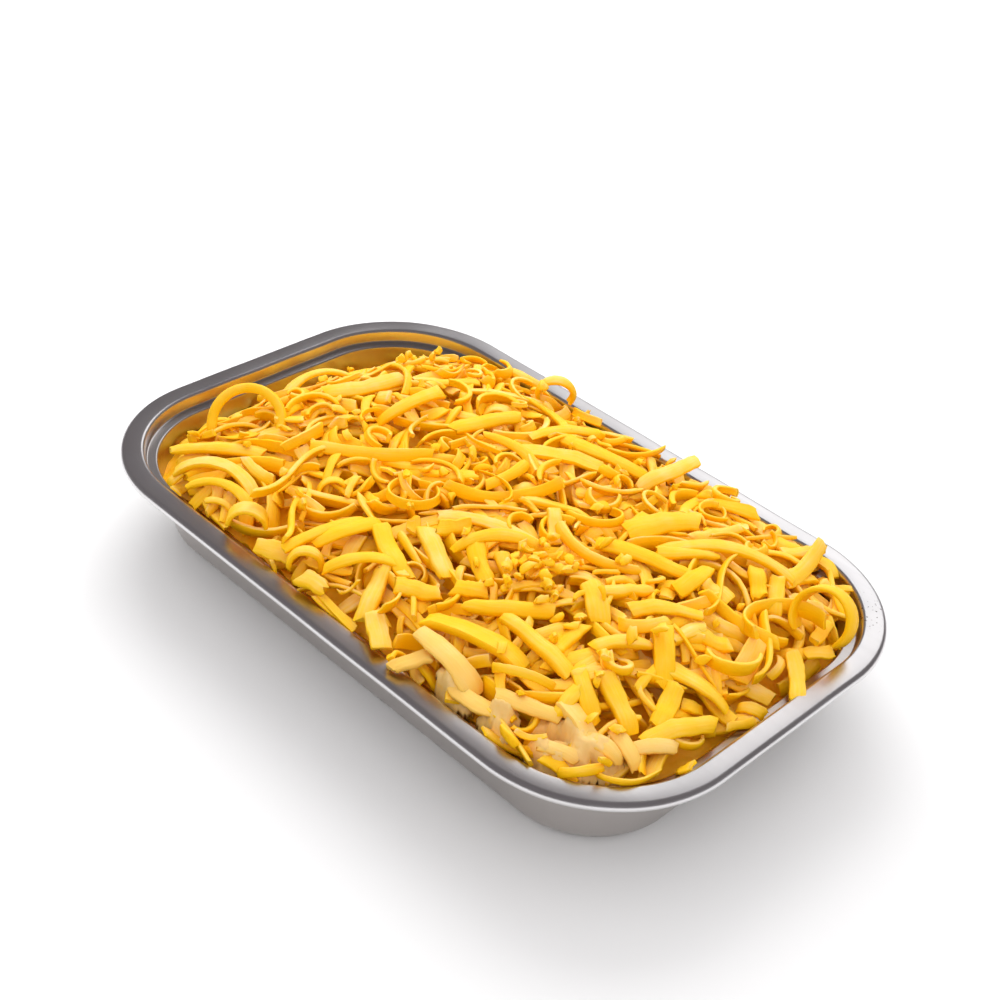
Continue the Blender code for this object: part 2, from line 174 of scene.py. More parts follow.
trayLow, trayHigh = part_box("tray")
tray = {
    "length": trayHigh.x - trayLow.x,
    "width": trayHigh.y - trayLow.y,
    "height": trayHigh.z,
    "cornerRadius": 38 * mm,
    "foil": 0.6 * mm,
    "floorBend": 6 * mm,
    "wallDraft": math.radians(13),
    "bead": 1.35 * mm,  # radius of the rolled lip
    "flange": 5.3 * mm,
    "rimBend": 1.1 * mm,
    "rimLean": 0.2 * mm,
    "ledgeDrop": 3.7 * mm,
    "ledge": 2.0 * mm,
    "ledgeBend": 0.6 * mm,
    "dent": 0.10 * mm,  # unevenness of the pressed foil
    "brightAbove": 27 * mm,  # the foil is painted darker below the rim, painted shade on the walls and floor
    "fullShadeBelow": 23 * mm,
    "wallShadeStrength": 0.7,
    "specksAt": (88 * mm, 49 * mm, 28 * mm),  # a few scuffs on the flange
    "specksReach": 9 * mm,
    "bendSteps": 8,
    "lipSteps": 16,
    "cornerSteps": 28,
    "sideStep": 4 * mm,
    "dentRun": 46 * mm,  # length of the dents
    "pull": 0.0006,  # share by which the foil draws in, unevenly
    "pullRun": 60 * mm,
}


def arc(centre, radius, start, end, steps):
    points = []
    for step in range(steps + 1):
        angle = math.radians(start + (end - start) * step / steps)
        points.append((centre[0] + radius * math.cos(angle), centre[1] + radius * math.sin(angle)))
    return points


def foilSection(steps):
    # upper surface as (inset, height), from the edge of the floor out to the flange
    ledgeHeight = tray["height"] - tray["ledgeDrop"]
    rimFoot = tray["flange"] + tray["rimBend"] + tray["rimLean"]
    ledgeStart = rimFoot + tray["ledgeBend"]
    ledgeEnd = ledgeStart + tray["ledge"]
    bend = tray["ledgeBend"]
    wallTop = (ledgeEnd + bend, ledgeHeight - bend)
    bendHeight = tray["foil"] + tray["floorBend"]
    wallAtBend = wallTop[0] + (wallTop[1] - bendHeight) * math.tan(tray["wallDraft"])
    bendCentre = (wallAtBend + tray["floorBend"] / math.cos(tray["wallDraft"]), bendHeight)
    section = arc(bendCentre, tray["floorBend"], 270, 180 + math.degrees(tray["wallDraft"]), steps)
    section += arc((ledgeEnd, ledgeHeight - bend), bend, 0, 90, steps // 2)
    section += arc((ledgeStart, ledgeHeight + bend), bend, 270, 180, steps // 2)
    section += arc((tray["flange"], tray["height"] - tray["rimBend"]), tray["rimBend"], 10, 90, steps)
    return section


def underSide(section, distance):
    shifted = []
    for index, (inset, height) in enumerate(section):
        before = Vector(section[max(index - 1, 0)])
        after = Vector(section[min(index + 1, len(section) - 1)])
        run = (after - before).normalized()
        shifted.append((inset - distance * run.y, height + distance * run.x))
    return shifted


def sweepRound(bm, section, cornerSteps, sideStep):
    # spins the section round each corner and draws it out along each side
    halfX = tray["length"] / 2 - tray["cornerRadius"]
    halfY = tray["width"] / 2 - tray["cornerRadius"]
    edge = -halfY - tray["cornerRadius"]
    verts = [bm.verts.new((halfX, edge + inset, height)) for inset, height in section]
    edges = [bm.edges.new(pair) for pair in zip(verts, verts[1:])]
    geometry = verts + edges
    # each corner's signs, and the side that follows it
    corners = (
        (1, -1, (0, 2 * halfY)),
        (1, 1, (-2 * halfX, 0)),
        (-1, 1, (0, -2 * halfY)),
        (-1, -1, (2 * halfX, 0)),
    )
    for signX, signY, run in corners:
        spun = bmesh.ops.spin(
            bm, geom=geometry, cent=(signX * halfX, signY * halfY, 0), axis=(0, 0, 1),
            angle=math.radians(90), steps=cornerSteps, use_merge=False, use_duplicate=False)
        geometry = spun["geom_last"]
        pieces = max(1, round(max(abs(run[0]), abs(run[1])) / sideStep))
        for _ in range(pieces):
            lastEdges = [part for part in geometry if isinstance(part, bmesh.types.BMEdge)]
            drawn = bmesh.ops.extrude_edge_only(bm, edges=lastEdges)["geom"]
            newVerts = [part for part in drawn if isinstance(part, bmesh.types.BMVert)]
            newEdges = [part for part in drawn if isinstance(part, bmesh.types.BMEdge)]
            bmesh.ops.translate(bm, verts=newVerts, vec=(run[0] / pieces, run[1] / pieces, 0))
            ends = set(newVerts)
            kept = [part for part in newEdges if part.verts[0] in ends and part.verts[1] in ends]
            geometry = newVerts + kept
    bmesh.ops.remove_doubles(bm, verts=bm.verts, dist=0.02 * mm)


def unevenness(x, y, length):
    # smooth waves between about -1 and 1, in no regular order
    first = np.sin(2 * math.pi * (x + 0.43 * y) / length + 0.7)
    first = first * np.sin(2 * math.pi * (0.31 * x - y) / (1.27 * length) + 1.0)
    second = np.sin(2 * math.pi * (0.8 * x - 0.72 * y) / (0.61 * length) + 2.1)
    third = np.sin(2 * math.pi * (0.66 * x + 0.9 * y) / (0.47 * length) + 4.4)
    return 0.5 * first + 0.3 * second * np.cos(2 * math.pi * y / length) + 0.25 * third


def foilPaint():
    paint = Paint("pressed foil", {"Metallic": 1.0})
    rollLines = paint.noise(paint.place((40, 2600, 300)), 1.0, 3.0, 0.6)
    grain = paint.noise(paint.place(), 900, 3.0, 0.6)
    cloud = paint.noise(paint.place(), 45, 2.0)
    specks = paint.spread(paint.noise(paint.place(), 1300, 1.0), 0.66, 0.72)
    fromSpecks = paint.node(
        "ShaderNodeVectorMath", {"operation": "DISTANCE"}, {0: paint.place(), 1: tray["specksAt"]},
        output="Value")
    marks = specks * (1 - paint.spread(fromSpecks, 3 * mm, tray["specksReach"]))
    bright = paint.blend(cloud, (0.72, 0.70, 0.70, 1), (0.86, 0.86, 0.87, 1))
    height = paint.node("ShaderNodeSeparateXYZ", {}, {"Vector": paint.place()}, output="Z")
    # painted shade: below the rim the foil colour is blended towards dark grey, standing in for shade and dim
    # reflections on the walls and floor
    wallShade = paint.spread(height, tray["brightAbove"], tray["fullShadeBelow"]) * tray["wallShadeStrength"]
    bright = paint.blend(wallShade, bright, (0.42, 0.38, 0.35, 1))
    paint.feed(
        colour=paint.blend(marks, bright, (0.16, 0.13, 0.12, 1)),
        roughness=0.20 + 0.12 * cloud + 0.12 * rollLines + 0.2 * marks,
        normal=paint.bump(rollLines * 0.6 + grain * 0.4 - marks, 0.12, 0.05 * mm))
    return paint


def makeTray():
    upper = foilSection(tray["bendSteps"])
    under = underSide(upper, tray["foil"])
    under[0] = (upper[0][0], 0.0)
    under[-1] = (upper[-1][0], tray["height"] - tray["foil"])
    lip = arc((tray["bead"], tray["height"] - tray["bead"]), tray["bead"], 90, 360, tray["lipSteps"])
    lip.append((2 * tray["bead"] + 0.2 * mm, tray["height"] - tray["foil"]))
    bm = bmesh.new()
    sweepRound(bm, upper + lip + under[::-1], tray["cornerSteps"], tray["sideStep"])
    bmesh.ops.holes_fill(bm, edges=[edge for edge in bm.edges if edge.is_boundary], sides=0)
    bmesh.ops.recalc_face_normals(bm, faces=bm.faces)
    for vert in bm.verts:
        rise = unevenness(vert.co.x, vert.co.y, tray["dentRun"]) * tray["dent"]
        held = tray["dent"] * (vert.co.z > tray["height"] / 2)
        vert.co.z += rise * min(1.0, vert.co.z / tray["height"]) - held
        pull = 1 - tray["pull"] * (1 + unevenness(vert.co.y, vert.co.x, tray["pullRun"]))
        vert.co.x *= pull
        vert.co.y *= pull
    addPiece("foil_tray", meshFrom(bm, "foil_tray", 40), foilPaint(), "tray")


def insetAt(x, y):
    # distance inside the tray's outer edge
    pastX = np.abs(x) - (tray["length"] / 2 - tray["cornerRadius"])
    pastY = np.abs(y) - (tray["width"] / 2 - tray["cornerRadius"])
    outside = np.hypot(np.maximum(pastX, 0), np.maximum(pastY, 0))
    return tray["cornerRadius"] - outside - np.minimum(np.maximum(pastX, pastY), 0)


# Food: the creamy filling, and the core that the cheese lies on

food = {
    "fillingDepth": 16 * mm,
    "swell": 5 * mm,
    "swellAt": (60 * mm, -44 * mm),
    "swellReach": 20 * mm,
    "fillingLump": 0.7 * mm,
    "crest": 36 * mm,  # height that the shreds reach along the middle
    "side": 28.5 * mm,
    "endDrop": 8 * mm,
    "nearDrop": 3.5 * mm,
    "dome": 42 * mm,
    "endRun": 28 * mm,
    "cornerDrop": 6 * mm,  # the heap is lowest at the far corner
    "cornerAt": (-80 * mm, 40 * mm),
    "cornerReach": 26 * mm,
    "cover": 8.5 * mm,  # depth of loose shreds over the core at the crest
    "leastCover": 6.0 * mm,
    "coreLump": 1.0 * mm,
    "coreRise": 1.2 * mm,  # least room between the core, the filling's top and the wall
    "gap": 0.3 * mm,
    "fillingCell": 2.0 * mm,
    "coreCell": 1.3 * mm,
    "fillingRun": 15 * mm,  # length of the lumps
    "coreRun": 9 * mm,
}


def smoothStep(low, high, value):
    share = np.clip((value - low) / (high - low), 0.0, 1.0)
    return share * share * (3 - 2 * share)


def inwards(x, y):
    # 0 at the heap's edge, 1 along its middle
    return np.clip((insetAt(x, y) - 2 * tray["flange"]) / food["dome"], 0, 1)


def heapSurface(x, y):
    inside = inwards(x, y)
    dome = 1 - (1 - inside) ** 2
    endStart = tray["length"] / 2 - 2 * tray["flange"] - food["endRun"]
    end = smoothStep(endStart, endStart + food["endRun"], np.abs(x))
    fromCorner = np.hypot(x - food["cornerAt"][0], y - food["cornerAt"][1])
    corner = np.exp(-((fromCorner / food["cornerReach"]) ** 2))
    top = food["side"] + (food["crest"] - food["side"]) * dome
    return top - np.where(x < 0, food["endDrop"], food["nearDrop"]) * end - food["cornerDrop"] * corner


def fillingTop(x, y):
    distance = np.hypot(x - food["swellAt"][0], y - food["swellAt"][1])
    swell = food["swell"] * np.exp(-((distance / food["swellReach"]) ** 2))
    return food["fillingDepth"] + swell + food["fillingLump"] * unevenness(x, y, food["fillingRun"])


def coreTop(x, y):
    cover = food["leastCover"] + (food["cover"] - food["leastCover"]) * inwards(x, y)
    bare = heapSurface(x, y) - cover + food["coreLump"] * unevenness(x, y, food["coreRun"])
    return np.maximum(bare, fillingTop(x, y) + food["coreRise"])


def foodBody(name, edgeInset, bottomInset, top, bottom, cell):
    # a grid over the tray's inside, drawn up into a closed body between two height functions
    halfLength = tray["length"] / 2
    bm = bmesh.new()
    across = round(tray["width"] / cell)
    along = round(tray["length"] / cell)
    bmesh.ops.create_grid(bm, x_segments=along, y_segments=across, size=1.0)
    drawn = bmesh.ops.extrude_face_region(bm, geom=bm.faces[:], use_keep_orig=True)["geom"]
    upper = {part for part in drawn if isinstance(part, bmesh.types.BMVert)}
    for vert in bm.verts:
        inset = edgeInset if vert in upper else bottomInset
        x = vert.co.x * (halfLength - inset)
        radius = tray["cornerRadius"] - inset
        past = max(abs(x) - (halfLength - tray["cornerRadius"]), 0)
        halfWidth = tray["width"] / 2 - inset - (radius - math.sqrt(max(radius ** 2 - past ** 2, 0)))
        y = vert.co.y * halfWidth
        vert.co = (x, y, float(top(x, y) if vert in upper else bottom(x, y)))
    bmesh.ops.recalc_face_normals(bm, faces=bm.faces)
    return meshFrom(bm, name, 60)


def creamPaint():
    paint = Paint("creamy sauce", {
        "Subsurface Weight": 0.15, "Subsurface Radius": (1.0, 0.55, 0.25), "Subsurface Scale": 0.6 * mm,
        "Coat Weight": 0.35, "Coat Roughness": 0.12})
    cloud = paint.noise(paint.place(), 130, 3.0)
    fleck = paint.noise(paint.place(), 520, 2.0)
    warm = paint.blend(cloud, (0.88, 0.52, 0.12, 1), (0.94, 0.64, 0.26, 1))
    paint.feed(
        colour=paint.blend(paint.spread(fleck, 0.55, 0.75) * 0.5, warm, (0.97, 0.52, 0.03, 1)),
        roughness=0.28 + 0.2 * fleck,
        normal=paint.bump(cloud * 0.7 + fleck * 0.3, 0.5, 0.6 * mm))
    return paint


def corePaint():
    paint = Paint("packed cheese", {
        "Subsurface Weight": 0.2, "Subsurface Radius": (0.8, 0.6, 0.3), "Subsurface Scale": 0.4 * mm})
    cloud = paint.noise(paint.place(), 260, 3.0)
    grain = paint.noise(paint.place((1, 1, 1), (0, 0, 0.6)), 800, 2.0)
    paint.feed(
        colour=paint.blend(cloud, (1.0, 0.44, 0.0, 1), (1.0, 0.52, 0.002, 1)),
        roughness=0.45 + 0.2 * grain,
        normal=paint.bump(cloud * 0.7 + grain * 0.3, 0.6, 0.8 * mm))
    return paint


def makeFood():
    section = foilSection(tray["bendSteps"])
    wallTop = section[tray["bendSteps"] + 1]
    slope = math.tan(tray["wallDraft"])
    levelInset = wallTop[0] + (wallTop[1] - food["fillingDepth"]) * slope + food["gap"]
    floorInset = section[0][0] + food["gap"]
    filling = foodBody(
        "cream_filling", levelInset, floorInset, fillingTop, lambda x, y: tray["foil"] + food["gap"],
        food["fillingCell"])
    addPiece("cream_filling", filling, creamPaint(), "creamy_filling")
    coreInset = wallTop[0] + food["coreRise"]
    core = foodBody(
        "cheese_core", coreInset, levelInset, coreTop, lambda x, y: fillingTop(x, y) + food["gap"],
        food["coreCell"])
    addPiece("cheese_core", core, corePaint(), "cheese_heap")
    return coreInset


# Cheese shreds: each is a bent strip with a ten-sided section, dropped on what lies below it

shred = {
    "seed": 7,
    "cell": 0.5 * mm,
    "sides": 10,
    "chamfer": 0.2,  # share of the thickness
    "crown": (-0.15, 0.32),  # rise of the middle over the sides, share of the thickness
    "steps": 6,
    "turnPerStep": 40,  # a coiled shred has one more step for each of these degrees
    "tries": 14,
    "edgeShare": 0.42,  # of the shreds that lie on their edge, coiled
    "curled": 130,  # degrees, above which a shred keeps its arch
    "press": 1.2 * mm,  # how far a shred may be pressed in among the others
    "spread": 5 * mm,
    "pileWeight": 1.5,
    "limp": 0.65,  # how far a shred sags on to what is below
    "mostSag": 2.8 * mm,
    "sink": 0.15 * mm,
    "singleLift": 0.3 * mm,  # a single shred's lowest point is at most this far over the heap's surface
    "holeDepth": 2.5 * mm,  # a gap this deep in the heap gets more shreds
    "farGap": 11 * mm,  # clear foil at the far end, above the level
    "farLevel": 22 * mm,
    "leftCut": (0.814, 0.581, -85.5 * mm),  # clear foil past this line at the far left corner
    "nearGap": 4.5 * mm,  # clear foil at the near end, beyond this place across the tray
    "nearGapFrom": 10 * mm,
    "slimWidth": 0.84,
    "slimThickness": 0.92,
    "unevenCurl": 17,  # degrees
    "unevenBend": 0.45,
    "unevenTwist": 34,
    "stubSteps": 4,
    "singleSteps": 12,
    "coiledSteps": 24,
    "coiled": 250,  # degrees of curl and bend, above which a single shred has the finer steps
    "arched": 150,  # and above which it keeps its arch
    "onSide": 30,  # degrees of roll, above which it doesn't sag
    "singleLimp": 0.4,
    "headroom": 0.4 * mm,  # below the top of the heap's box
    "edgeRise": 1.5 * mm,  # how much higher a shred on its edge may stand
    "keptWeight": 4 * mm,
    "holesEvery": 15,  # shreds laid between two looks for holes
    "holeInset": 9 * mm,
    "lowInset": 5.5 * mm,  # least distance inside the tray's edge, below the rim and anywhere
    "leastInset": 3.5 * mm,
    "foilTouch": 0.2 * mm,
    "pointsAlong": 8,  # points between two rings, and across a shred, where it covers the ground
    "pointsAcross": 14,
    "evenStepX": 0.7548777,
    "evenStepY": 0.5698403,
}

# kind: count, length, width and thickness ranges in mm, curl and bend in degrees
bottomKinds = {
    "ribbon": (420, (14, 32), (3.6, 5.4), (1, 1.6), 90, 60),
    "strip": (480, (10, 30), (2.6, 4.2), (0.9, 1.5), 140, 80),
}
holeKinds = {
    "ribbon": (160, (9, 20), (3.4, 5), (1, 1.5), 60, 60),
    "strip": (420, (7, 18), (2.4, 3.8), (0.9, 1.4), 100, 80),
}
gapKinds = {
    "ribbon": (60, (8, 16), (3, 4.4), (0.9, 1.5), 70, 70),
    "strip": (300, (6, 16), (2, 3.4), (0.9, 1.4), 120, 90),
}
topKinds = {
    "ribbon": (260, (12, 29), (3.1, 4.5), (0.9, 1.5), 125, 75),
    "strip": (500, (10, 29), (2.2, 3.6), (0.9, 1.5), 190, 95),
    "sliver": (130, (6, 20), (1.2, 2.3), (0.7, 1.1), 190, 120),
    "stub": (70, (4, 9), (3, 5), (1.2, 1.9), 30, 20),
}

# single shreds seen in the heap: x, y, heading, length, width, thickness, pitch, roll, first and last
# curl, bend in its own plane, sink; millimetres and degrees
singles = {
    "longBar": (38, -42, 15, 27.5, 7, 2.2, 3, 0, 20, 20, -12, 0.4),
    "crossBar": (49.5, -34, -2, 22, 6, 2, 5, 0, 10, 30, 10, 0.4),
    "middleBar": (37, -31, 44, 21, 5.4, 2.6, 0, 20, 20, 20, -8, 0.4),
    "groovedStick": (20, -25, -32, 14.5, 5.4, 3, 10, 0, 0, 0, 0, 0.2),
    "rolledStick": (8.6, -48, -60, 17, 5.6, 3, 12, 0, 15, 15, 0, 0.3),
    "belowRolled": (18, -55, -30, 11, 6.4, 1.8, 4, 0, 30, 30, 0, 0.3),
    "archLow": (0.6, -45, 52, 20, 4.6, 1.6, -6, 0, 30, 110, -15, 0.3),
    "archHigh": (-9.5, -40, 75, 20, 5, 1.5, 0, 0, 40, 80, 30, 0.3),
    "slab": (1.7, -37, -21, 20, 6, 1.8, 8, 8, 10, 10, 10, 0.3),
    "slabCrest": (4, -33, -18, 12, 3.2, 1.6, 4, 70, 20, 20, 0, 1.2),
    "curvedSlab": (10, -29.5, -24, 18, 6.4, 1.8, 8, -10, 40, 20, 20, 0.3),
    "block": (6.5, -20, 70, 9, 5, 2.6, 0, 30, 20, 20, 0, 0.4),
    "thinArc": (19, -17, 49, 25, 4, 1.3, 0, 30, 60, 60, -40, 0.5),
    "upperArc": (11.5, -11, 22, 29, 4.4, 1.5, 2, 10, 40, 20, -35, 0.4),
    "smile": (3.5, 0, 54, 33, 4, 1.3, 0, 60, -40, -30, 60, 0.8),
    "spiral": (-5, -23, 47, 36, 3.6, 1.2, 0, 82, 260, 380, 0, 1.6),
    "standingBlock": (22, 0, -44, 12, 4.6, 2, 10, 0, 10, 10, 0, 0.3),
    "longCurve": (35.5, -2.5, 9, 27, 4, 1.5, 4, 50, 70, 40, 30, 0.9),
    "smallLoop": (30, 10, 52, 24, 3, 1.1, 0, 75, 60, 420, 0, 1.2),
    "hookMiddle": (24, -35, -54, 17, 3.4, 1.2, 0, 75, -150, -120, 0, 1.2),
    "hookLeft": (13, -44, -40, 18, 3.8, 1.2, 0, 70, -180, -120, 0, 1.2),
    "flatBar": (16, -41, 36, 11, 6, 2, 0, 25, 10, 10, 0, 0.3),
    "stubBelow": (25.5, -33, 43, 8, 5, 1.8, 0, 30, 30, 30, 0, 0.4),
    "stubMiddle": (25.5, -20.6, -21, 7.5, 5, 2.4, 10, 0, 20, 20, 0, 0.3),
    "flap": (49, -14.5, -34, 12.5, 6.8, 1.6, 12, 0, 20, 60, 0, 0.2),
    "backBar": (50.5, -5, 60, 12, 4.6, 2.2, 0, 15, 0, 0, 0, 0.4),
    "crossUp": (52, -27, 96, 12, 5.2, 1.5, -12, -10, 20, 20, 10, 0.3),
    "thinBow": (54.5, -45, 27, 19, 2.8, 1.1, 0, 40, 150, 120, 0, 0.5),
    "brightBar": (38.5, 22.5, 67, 21, 7.6, 2, 0, 22, 10, 10, 0, 0.5),
    "brightBarBack": (48, 33, 76, 16, 4.6, 2, 0, 10, 0, 15, 0, 0.4),
    "longRightArc": (56.5, 27, 36, 36, 4.6, 1.7, 2, 10, 50, 60, -30, 0.4),
    "upBar": (44.5, 8.5, 24, 24, 5.4, 2, 5, 8, 15, 15, -6, 0.4),
    "backStick": (50.5, 18, 44, 15, 4.2, 2, 0, 15, 0, 10, 0, 0.4),
    "wideFlat": (58, 12, 92, 13, 6.2, 1.7, -5, 5, 15, 15, 0, 0.2),
    "paleStub": (63.5, 14, 13, 7.5, 6.2, 1.6, 10, 0, 10, 10, 0, 0.3),
    "wave": (63, 15.5, -54, 24, 4, 1.2, 6, 72, 160, -170, 0, 1.2),
    "cup": (72.5, 22, 66, 34, 5.4, 1.3, 0, 74, -200, -170, 0, 2),
    "roundStub": (67.5, 25, -42, 9, 5, 2.6, 12, 0, 20, 40, 0, 0.3),
    "tallStub": (72, 27, -54, 11.5, 5, 2.4, 15, 0, 10, 20, 0, 0.5),
    "rimStub": (64, 49.5, 68, 12.5, 4, 1.6, 0, 10, 0, 0, 0, 0.2),
    "curvedBar": (69, 43, 99, 21, 5.8, 1.8, -6, 25, -30, -30, 30, 0.4),
    "rightRing": (84.5, 31.5, 8, 34, 6, 1.7, 0, -26, 265, 275, 0, 0.6),
    "darkBar": (85, 31, 103, 12, 4.2, 1.8, 10, 20, 30, 30, 0, 0.4),
    "rimHang": (90, 13.5, -48, 16, 4.8, 1.5, 6, 0, 20, 40, 0, 0.2),
    "tornPiece": (88.5, 24, 46, 7, 4.6, 1.1, -4, 10, 50, 40, 0, 0.2),
    "wavyEdge": (82, 11.5, -45, 24, 4.2, 1.1, 8, 78, 130, -190, 0, 1.4),
    "wavyLong": (72.5, 11, 5, 22, 4.2, 1.3, 10, 60, -90, 80, 0, 1.2),
    "rolledDark": (81, 6, 107, 14, 6.6, 1.6, -12, 20, 60, 50, 0, 0.5),
    "frontBar": (72.5, -32, -18, 16, 5.8, 1.9, 24, 0, 30, 50, 0, 0.3),
    "frontBarLeft": (66, -36, -30, 14, 4.8, 1.7, 16, 10, 50, 70, 10, 0.4),
    "uprightBar": (70.5, -14, -45, 17, 6, 1.7, 24, 0, 40, 50, 0, 0.2),
    "frontLow": (79, -22, 112, 13, 6, 1.8, -14, 10, 20, 20, 0, 0.4),
    "wideFlap": (80, -11, 20, 16, 7.4, 1.5, 18, -14, 30, 60, -20, 0.3),
    "edgeHook": (82, -3, 34, 20, 4.4, 1.2, 0, 78, 200, 160, 0, 1.4),
    "bottomBar": (85, -24, 72, 20, 5.4, 1.7, 0, 20, 20, 20, 10, 0.4),
    "archRight": (62, -19, 58, 15, 5.6, 1.5, 4, 0, 60, 90, 0, 0.2),
    "barRight": (60.5, -2, 46, 18, 5.2, 1.9, 2, 12, 10, 20, -12, 0.4),
    "stubRight": (68, -2.5, 79, 10, 4.8, 1.8, -4, 10, 10, 10, 0, 0.3),
    "elbow": (72.5, 1.5, 30, 9, 4.6, 1.7, 6, 20, -60, -40, 30, 0.3),
    "leftLow": (65, -40, 99, 10, 4.8, 1.7, -14, 0, 30, 30, 0, 0.4),
    "leftStub": (63.5, -32, 62, 8, 4.8, 1.8, 0, 12, 20, 20, 0, 0.3),
    "thinRight": (71.5, -21, 98, 9, 2.8, 1.3, -10, 20, 20, 40, 0, 0.3),
    "leftRing": (-68.8, -23, 33, 41, 5.2, 2.6, 0, -42, 255, 260, 0, 1),
    "bandUpper": (-61, -42, 40, 25, 5, 1.6, -4, 12, 30, 50, -12, 1.5),
    "bandLower": (-53.5, -46, 18, 29, 4.2, 1.5, -4, 16, 50, 60, -62, 0.3),
    "bandThird": (-48.5, -49.5, 20, 21, 3.8, 1.5, -4, 12, 50, 50, -70, 0.3),
    "hookFar": (-36.5, -37, -65, 30, 3.8, 1.2, 0, 78, 150, -170, 0, 1.4),
    "thinFar": (-30, -15.5, 44, 33, 4.2, 1.5, 0, 40, 20, 30, 20, 0.6),
    "farCrest": (-46, -24, 93, 15, 4.4, 1.4, 0, 60, 60, 60, 0, 0.9),
    "farRimLoop": (-25.5, 51, 41, 21, 4.2, 1.6, 0, 0, 250, 260, 0, 0),
    "farRimArch": (-73.5, 1, 84, 24, 4.2, 1.5, 0, -20, 90, 80, -45, 0.6),
    "farRibbon": (-56.5, 6, 73, 24, 5.4, 1.6, 0, 25, 30, 40, 15, 0.4),
    "farArch": (-38, 9, 88, 28, 5.2, 1.5, 0, 20, 120, 110, 0, 0.6),
    "farSlab": (-23, 20.5, 74, 22, 5.6, 1.7, 0, 25, 20, 30, 0, 0.4),
    "farLong": (1, 24.5, 33, 24, 5.4, 1.7, 0, 15, 20, 30, -20, 0.4),
    "farLongBack": (6, 35, 12, 27, 5, 1.6, 0, 20, 20, 30, 10, 0.4),
    "backEdge": (22, 45.5, 88, 24, 5.4, 1.6, 0, 15, 20, 30, 0, 0.4),
    "backEdgeRight": (40, 49, 33, 16, 5, 1.6, 0, 10, 20, 20, 0, 0.3),
    "sideArch": (-13.6, -44, 76, 24, 4, 1.6, 0, 5, 70, 60, 10, 0.3),
    "sideCup": (-33.5, -53, 42, 15, 6.6, 1.5, 0, -8, 190, 200, 0, 0.6),
    "sideFlake": (-20.5, -55, 29, 10, 6.6, 1.6, 0, 32, 40, 60, 10, 0.3),
    "sideCurl": (-11.5, -52.5, 48, 14, 4, 1.5, 0, -5, 210, 220, 0, 0.5),
    "sideRoll": (-4.4, -55.8, 7, 8, 6, 3.6, 0, 10, 10, 10, 0, 0.3),
    "sideHook": (-24, -47, -40, 20, 3.8, 1.4, 0, 75, 180, -150, 0, 1),
}

# shreds wet with sauce at the near side
paleSingles = {
    "paleStrip": (38.5, -51.5, 0, 22, 8, 1.7, 14, 0, 20, 110, -15, 0.2),
    "paleStub": (31, -56, 62, 10, 5.6, 2.2, -4, 0, 10, 10, 0, 0.2),
    "paleLow": (60, -48, 25, 16, 5, 1.7, 6, 10, 30, 40, 0, 0.5),
    "paleFront": (70, -42, -10, 13, 5.4, 1.9, 12, 0, 20, 20, 0, 0.5),
    "paleEdge": (49, -54, 10, 12, 5, 1.5, 4, 10, 30, 30, 0, 0.4),
    "paleFold": (78, -43, 15, 12, 4.6, 1.5, 8, 15, 80, 110, 0, 0.4),
    "paleTip": (81, -38, -12, 11, 4.8, 1.6, 12, 0, 40, 90, 10, 0.3),
    "paleRim": (72, -50, 28, 10, 4.2, 1.5, 6, 20, 60, 50, 0, 0.4),
    "paleSide": (84.5, -33, 55, 12, 4.4, 1.5, 0, 25, 70, 90, 0, 0.4),
}


def strip(length, width, thickness, curl, bend, twist, steps, draw):
    # rings of points along a bent strip, its middle flat on the origin; curl bows it into an arch
    places = [Vector((0, 0, 0))]
    frames = [Matrix.Identity(3)]
    for step in range(steps):
        share = (step + 0.5) / steps
        turn = Matrix.Rotation(math.radians(curl[0] + (curl[1] - curl[0]) * share) / steps, 3, "Y")
        turn = turn @ Matrix.Rotation(math.radians(bend) / steps, 3, "Z")
        turn = turn @ Matrix.Rotation(math.radians(twist) / steps, 3, "X")
        middle = places[-1] + frames[-1].col[0] * (length / steps / 2)
        frames.append(frames[-1] @ turn)
        places.append(middle + frames[-1].col[0] * (length / steps / 2))
    home = frames[steps // 2].inverted()
    origin = places[steps // 2]
    frames = np.array([home @ turned for turned in frames])
    places = np.array([home @ (place - origin) for place in places])
    share = np.linspace(0, 1, steps + 1)
    taper = 1 - draw.uniform(0, 0.35) * (share if draw.random() < 0.5 else 1 - share)
    ripple = 1 + 0.05 * np.sin(share * draw.uniform(5, 14) + draw.uniform(0, 6))
    ragged = 1 + 0.05 * np.array([draw.uniform(-1, 1) for _ in share])
    widths = width * taper * ripple * ragged / 2
    thicknesses = thickness * (1 - 0.3 * draw.random() * share) / 2
    wedge = draw.uniform(-0.3, 0.3)
    cut = shred["chamfer"] * thickness
    crown = draw.uniform(*shred["crown"]) * thickness
    across = np.array([-1, -1, -1, 0, 1, 1, 1, 1, 0, -1], float)
    inward = np.array([0, 0, 1, 0, -1, 0, 0, -1, 0, 1], float)
    upward = np.array([-1, 1, 1, 1, 1, 1, -1, -1, -1, -1], float)
    pull = np.array([1, -1, 0, 0, 0, -1, 1, 0, 0, 0], float)
    raised = np.array([0, 0, 0, 1, 0, 0, 0, 0, 0.7, 0], float)
    y = widths[:, None] * across + cut * inward
    z = thicknesses[:, None] * upward * (1 + wedge * across) + cut * pull + crown * raised
    x = np.zeros_like(y)
    for end, inner in ((0, 1), (-1, -2)):
        slant = draw.uniform(-0.4, 0.4)
        rag = np.array([draw.uniform(-0.5, 0.5) for _ in range(shred["sides"])]) * 0.5 * thickness
        x[end] = slant * y[end] + rag
        x[inner] = 0.3 * slant * y[inner]
        z[end] *= draw.uniform(0.45, 0.95)
        y[end] *= draw.uniform(0.75, 0.97)
    rings = places[:, None, :] + x[..., None] * frames[:, None, :, 0]
    rings = rings + y[..., None] * frames[:, None, :, 1] + z[..., None] * frames[:, None, :, 2]
    return {"rings": rings, "along": share * length, "across": y, "tone": draw.random()}


